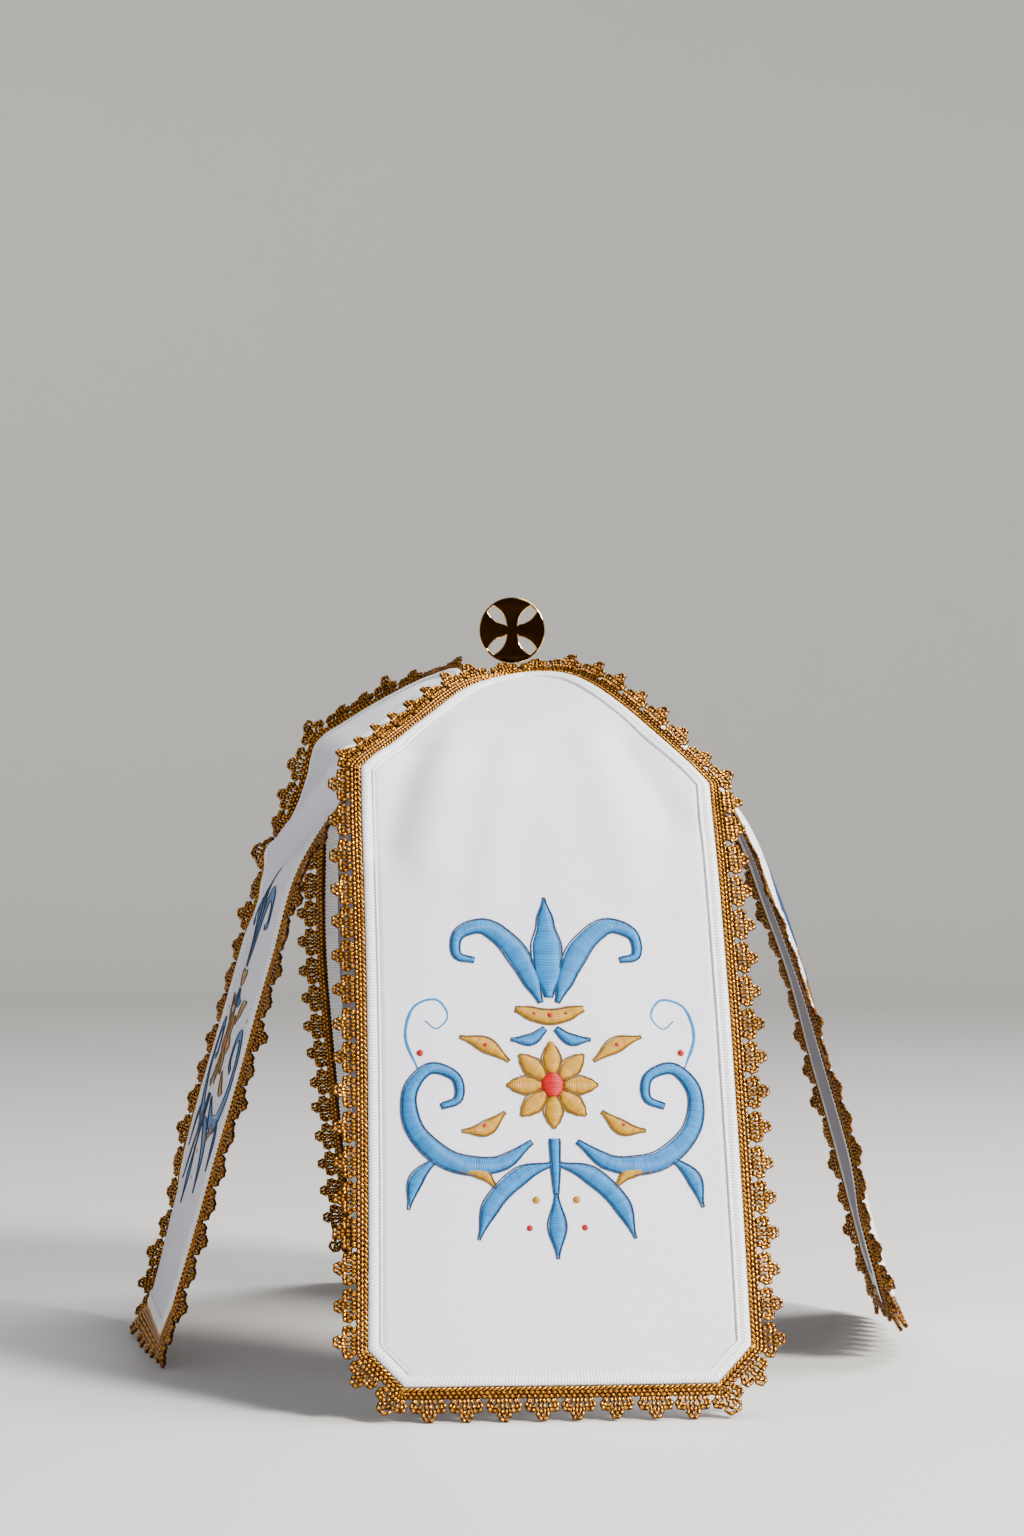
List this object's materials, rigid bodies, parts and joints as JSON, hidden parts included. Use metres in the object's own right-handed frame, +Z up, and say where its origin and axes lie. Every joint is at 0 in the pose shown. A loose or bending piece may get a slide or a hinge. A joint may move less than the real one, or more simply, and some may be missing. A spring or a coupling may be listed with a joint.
{
  "type": "ciborium veil with cross finial",
  "caption": "Cloth cover of bordered hanging panels for a lidded cup, with gold lace round every edge and a pierced round cross finial on a short stem.",
  "frame": {"origin": "on the surface that the lace hems stand on, under the middle of the whole outline", "axes": "+Z up; -Y is the way the front panel faces; +X is to the right of somebody who looks at the front panel"},
  "size_m": [0.2976, 0.357, 0.2865],
  "materials": {
    "white_cloth": "matt fine woven",
    "white_satin": "satin stitched",
    "gold_lace": "braided metal thread",
    "gilt_brass": "polished gilt",
    "blue_thread": "satin stitch",
    "gold_thread": "satin stitch",
    "red_thread": "satin stitch"
  },
  "bodies": {
    "root": {"panel_front": "white_cloth", "panel_left": "white_cloth", "panel_right": "white_cloth", "panel_back": "white_cloth", "binding_front": "white_satin", "binding_left": "white_satin", "binding_right": "white_satin", "binding_back": "white_satin", "lace_front": "gold_lace", "lace_left": "gold_lace", "lace_right": "gold_lace", "lace_back": "gold_lace", "finial_cross": "gilt_brass", "finial_stem": "gilt_brass"}
  },
  "joints": []
}
